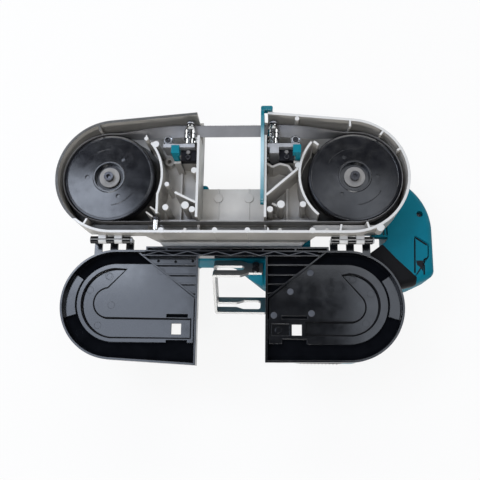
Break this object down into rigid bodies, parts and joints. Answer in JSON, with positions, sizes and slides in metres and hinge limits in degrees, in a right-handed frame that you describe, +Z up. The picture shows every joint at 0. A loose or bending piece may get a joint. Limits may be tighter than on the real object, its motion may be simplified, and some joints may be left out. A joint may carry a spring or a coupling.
{
  "type": "portable band saw",
  "caption": "Cordless portable band saw lying on its motor side with the hinged wheel cover open, showing wheels, blade, guides, hook and housing.",
  "frame": {"origin": "middle of the footprint, on the surface the saw lies on", "axes": "+X along the saw from the idler wheel to the drive wheel, +Y from the cover hinge to the cutting run, +Z up, from the motor to the open wheel side"},
  "size_m": [0.4068, 0.2734, 0.1673],
  "materials": {
    "frame_metal": "satin die-cast alloy with machined rims",
    "wheel_black": "glossy black paint",
    "rubber_black": "matt rubber",
    "blade_steel": "spring steel",
    "plain_steel": "zinc-plated steel",
    "dark_steel": "black oxide steel",
    "gear_steel": "ground gear steel",
    "roller_chrome": "polished roller steel",
    "cover_black": "glossy black moulding",
    "block_black": "black moulding",
    "teal": "teal moulding",
    "lock_teal": "teal moulding",
    "stop_teal": "teal painted plate",
    "winding": "varnished windings on laminations",
    "hook_steel": "grey plated strip"
  },
  "bodies": {
    "saw": {"frame_casting": "frame_metal", "gear_case": "frame_metal", "motor_stator": "winding", "motor_end_cap": "block_black", "housing_front": "teal", "housing_rear": "teal", "grip_pad": "rubber_black", "switch_body": "block_black", "terminal_block": "block_black", "housing_bumper": "rubber_black", "front_grip": "rubber_black", "stop_plate": "stop_teal", "tool_hook": "hook_steel", "blade": "blade_steel", "keeper_pin": "plain_steel", "shaft_bearing_front": "plain_steel", "shaft_bearing_rear": "plain_steel", "motor_bearing_front": "plain_steel", "motor_bearing_rear": "plain_steel", "stop_screw_upper": "plain_steel", "stop_screw_lower": "plain_steel", "hook_screw_upper": "dark_steel", "hook_screw_lower": "dark_steel", "hinge_pin_left": "plain_steel", "guide_block_left": "block_black", "guide_bracket_left": "plain_steel", "hinge_pin_right": "plain_steel", "guide_block_right": "block_black", "guide_bracket_right": "plain_steel"},
    "cover": {"cover_shell": "cover_black"},
    "drive": {"drive_wheel": "wheel_black", "drive_tyre": "rubber_black", "drive_shaft": "gear_steel", "output_gear": "gear_steel", "drive_washer": "plain_steel", "drive_screw": "dark_steel"},
    "carriage": {"idler_carriage": "plain_steel", "idler_washer": "plain_steel", "idler_screw": "dark_steel"},
    "idler": {"idler_wheel": "wheel_black", "idler_tyre": "rubber_black", "idler_bearing": "plain_steel"},
    "intermediate": {"intermediate_shaft": "gear_steel", "intermediate_gear": "gear_steel"},
    "rotor": {"rotor_shaft": "gear_steel", "rotor_core": "dark_steel", "cooling_fan": "block_black"},
    "keeper": {"keeper_roller": "roller_chrome"},
    "lever": {"tension_lever": "dark_steel"},
    "trigger_body": {"trigger": "block_black"},
    "button": {"lock_button": "block_black"},
    "roller_front_left": {"guide_roller_front_left": "roller_chrome"},
    "roller_rear_left": {"guide_roller_rear_left": "roller_chrome"},
    "backup_left": {"backup_roller_left": "roller_chrome"},
    "lock_left": {"cover_lock_left": "lock_teal"},
    "roller_front_right": {"guide_roller_front_right": "roller_chrome"},
    "roller_rear_right": {"guide_roller_rear_right": "roller_chrome"},
    "backup_right": {"backup_roller_right": "roller_chrome"},
    "lock_right": {"cover_lock_right": "lock_teal"}
  },
  "joints": [
    {"name": "cover_hinge", "type": "hinge", "parent": "saw", "child": "cover", "pos_m": [-0.0156, -0.00775, 0.135], "axis": [-1, 0, 0], "range_deg": [0, 180]},
    {"name": "drive_spin", "type": "hinge", "parent": "saw", "child": "drive", "pos_m": [0.1154, 0.05975, 0.137], "axis": [0, 0, 1], "continuous": true},
    {"name": "tension_slide", "type": "slide", "parent": "saw", "child": "carriage", "axis": [1, 0, 0], "range_m": [0, 0.006]},
    {"name": "idler_spin", "type": "hinge", "parent": "carriage", "child": "idler", "pos_m": [-0.1466, 0.05975, 0.137], "axis": [0, 0, 1], "continuous": true},
    {"name": "intermediate_spin", "type": "hinge", "parent": "saw", "child": "intermediate", "pos_m": [0.11264, 0.09715, 0.09], "axis": [0, 0, 1], "continuous": true},
    {"name": "rotor_spin", "type": "hinge", "parent": "saw", "child": "rotor", "pos_m": [0.0924, 0.08425, 0.05], "axis": [0, 0, 1], "continuous": true},
    {"name": "keeper_spin", "type": "hinge", "parent": "saw", "child": "keeper", "pos_m": [-0.0933, 0.00525, 0.1467], "axis": [0, 1, 0], "continuous": true},
    {"name": "lever_turn", "type": "hinge", "parent": "saw", "child": "lever", "pos_m": [-0.1236, 0.05975, 0.095], "axis": [0, 0, -1], "range_deg": [0, 150]},
    {"name": "trigger_slide", "type": "slide", "parent": "saw", "child": "trigger_body", "axis": [0, -1, 0], "range_m": [0, 0.006], "stiffness_N_per_m": 700},
    {"name": "button_slide", "type": "slide", "parent": "saw", "child": "button", "axis": [0, 0, 1], "range_m": [0, 0.0035], "stiffness_N_per_m": 500},
    {"name": "roller_front_left_spin", "type": "hinge", "parent": "saw", "child": "roller_front_left", "pos_m": [-0.0606, 0.10725, 0.14405], "axis": [0, 1, 0], "continuous": true},
    {"name": "roller_rear_left_spin", "type": "hinge", "parent": "saw", "child": "roller_rear_left", "pos_m": [-0.0606, 0.10725, 0.12995], "axis": [0, 1, 0], "continuous": true},
    {"name": "backup_left_spin", "type": "hinge", "parent": "saw", "child": "backup_left", "pos_m": [-0.0846, 0.10145, 0.137], "axis": [0, 0, 1], "continuous": true},
    {"name": "lock_left_slide", "type": "slide", "parent": "saw", "child": "lock_left", "axis": [0, 1, 0], "range_m": [0, 0.003]},
    {"name": "roller_front_right_spin", "type": "hinge", "parent": "saw", "child": "roller_front_right", "pos_m": [0.0294, 0.10725, 0.14405], "axis": [0, 1, 0], "continuous": true},
    {"name": "roller_rear_right_spin", "type": "hinge", "parent": "saw", "child": "roller_rear_right", "pos_m": [0.0294, 0.10725, 0.12995], "axis": [0, 1, 0], "continuous": true},
    {"name": "backup_right_spin", "type": "hinge", "parent": "saw", "child": "backup_right", "pos_m": [0.0534, 0.10145, 0.137], "axis": [0, 0, 1], "continuous": true},
    {"name": "lock_right_slide", "type": "slide", "parent": "saw", "child": "lock_right", "axis": [0, 1, 0], "range_m": [0, 0.003]}
  ],
  "couplings": [
    {"joint": "idler_spin", "follows": "drive_spin", "ratio": 1},
    {"joint": "intermediate_spin", "follows": "drive_spin", "ratio": -4},
    {"joint": "rotor_spin", "follows": "drive_spin", "ratio": 20},
    {"joint": "keeper_spin", "follows": "drive_spin", "ratio": -16.897},
    {"joint": "lever_turn", "follows": "tension_slide", "rad_per_m": 436.33},
    {"joint": "roller_front_left_spin", "follows": "drive_spin", "ratio": 7.5385},
    {"joint": "roller_rear_left_spin", "follows": "drive_spin", "ratio": -7.5385},
    {"joint": "backup_left_spin", "follows": "drive_spin", "ratio": 8.75},
    {"joint": "roller_front_right_spin", "follows": "drive_spin", "ratio": 7.5385},
    {"joint": "roller_rear_right_spin", "follows": "drive_spin", "ratio": -7.5385},
    {"joint": "backup_right_spin", "follows": "drive_spin", "ratio": 8.75}
  ]
}
